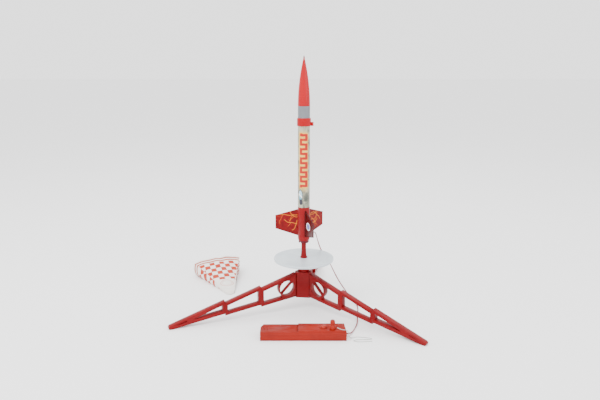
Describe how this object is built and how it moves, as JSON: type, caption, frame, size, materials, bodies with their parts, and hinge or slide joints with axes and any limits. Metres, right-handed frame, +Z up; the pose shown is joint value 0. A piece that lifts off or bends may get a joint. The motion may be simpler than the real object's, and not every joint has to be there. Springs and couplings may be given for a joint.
{
  "type": "model rocket on launch pad",
  "caption": "Model rocket standing on a three-legged launch pad with blast plate, wired to a hand-held launch controller, with its folded parachute beside it.",
  "frame": {"origin": "the point on the ground directly under the launch axis, in the plane of the three feet", "axes": "+Z up along the rocket and its stand-off, +X to the right along the length of the controller, -Y towards the side the controller lies on"},
  "size_m": [0.5086, 0.4757, 0.5326],
  "materials": {
    "pad_red": "moulded gloss",
    "rocket_red": "moulded gloss",
    "fin_print": "printed label, gloss",
    "tube_print": "printed gloss paper",
    "grey_tube": "coated paper, satin",
    "card": "raw spiral-wound card",
    "plate": "pale grey, satin",
    "retainer_red": "dark, matte",
    "clay": "pressed clay, matte",
    "charge": "pressed powder, matte",
    "copper": "drawn wire",
    "plug_blue": "moulded",
    "elastic": "woven elastic",
    "wadding": "crumpled tissue",
    "controller_red": "moulded satin",
    "button_red": "translucent, gloss",
    "spring_steel": "plated",
    "brass": "plain",
    "board": "phenolic board",
    "cell_jacket": "satin sleeve",
    "bulb": "clear",
    "lead_red": "vinyl insulation",
    "string_white": "braided",
    "chute_print": "printed plastic film"
  },
  "bodies": {
    "root": {"hub": "pad_red", "rod_holder": "pad_red", "standoff": "pad_red", "leg_inner_left": "pad_red", "leg_inner_right": "pad_red", "leg_inner_rear": "pad_red", "leg_middle_left": "pad_red", "leg_middle_right": "pad_red", "leg_middle_rear": "pad_red", "leg_tip_left": "pad_red", "leg_tip_right": "pad_red", "leg_tip_rear": "pad_red", "clip_jaws": "brass", "clip_boot": "lead_red", "lead_wire": "lead_red", "lead_grommet": "lead_red", "controller_base": "controller_red", "controller_cover": "controller_red", "controller_screws": "spring_steel", "batteries": "cell_jacket", "battery_springs": "spring_steel", "battery_plates": "brass", "switch_board": "board", "lamp": "bulb", "button_spring": "spring_steel", "key_cord": "string_white", "parachute": "chute_print"},
    "blast_plate": {"blast_plate": "plate"},
    "rocket": {"body_tube": "tube_print", "upper_tube": "grey_tube", "tube_coupler": "card", "lug_ring": "rocket_red", "fin_can": "rocket_red", "fin_rear": "fin_print", "fin_left": "fin_print", "fin_front": "fin_print", "motor_tube": "card", "centering_rings": "card", "thrust_ring": "card", "engine_casing": "card", "engine_nozzle": "clay", "engine_grain": "charge", "engine_cap": "clay", "igniter": "copper", "igniter_plug": "plug_blue", "shock_cord": "elastic", "recovery_wadding": "wadding"},
    "nose": {"nose_cone": "rocket_red", "nose_base": "rocket_red"},
    "retainer": {"engine_retainer": "retainer_red"},
    "battery_door": {"battery_door": "controller_red"},
    "launch_button": {"launch_button": "button_red"},
    "safety_key": {"safety_key": "controller_red"}
  },
  "joints": [
    {"name": "rocket_lift", "type": "slide", "parent": "root", "child": "rocket", "axis": [0, 0, 1], "range_m": [0, 0.15]},
    {"name": "nose_pull", "type": "slide", "parent": "rocket", "child": "nose", "axis": [0, 0, 1], "range_m": [0, 0.05]},
    {"name": "retainer_twist", "type": "hinge", "parent": "rocket", "child": "retainer", "pos_m": [0, 0, 0.1531], "axis": [0, 0, 1], "range_deg": [0, 60]},
    {"name": "plate_spin", "type": "hinge", "parent": "root", "child": "blast_plate", "pos_m": [0, 0, 0.1126], "axis": [0, 0, 1], "continuous": true},
    {"name": "button_press", "type": "slide", "parent": "root", "child": "launch_button", "axis": [0, 0, -1], "range_m": [0, 0.002], "stiffness_N_per_m": 400, "springref_m": -0.001, "deforming": ["button_spring"]},
    {"name": "key_pull", "type": "slide", "parent": "root", "child": "safety_key", "axis": [0, 0, 1], "range_m": [0, 0.014]},
    {"name": "battery_door_slide", "type": "slide", "parent": "root", "child": "battery_door", "axis": [-1, 0, 0], "range_m": [0, 0.072]}
  ]
}
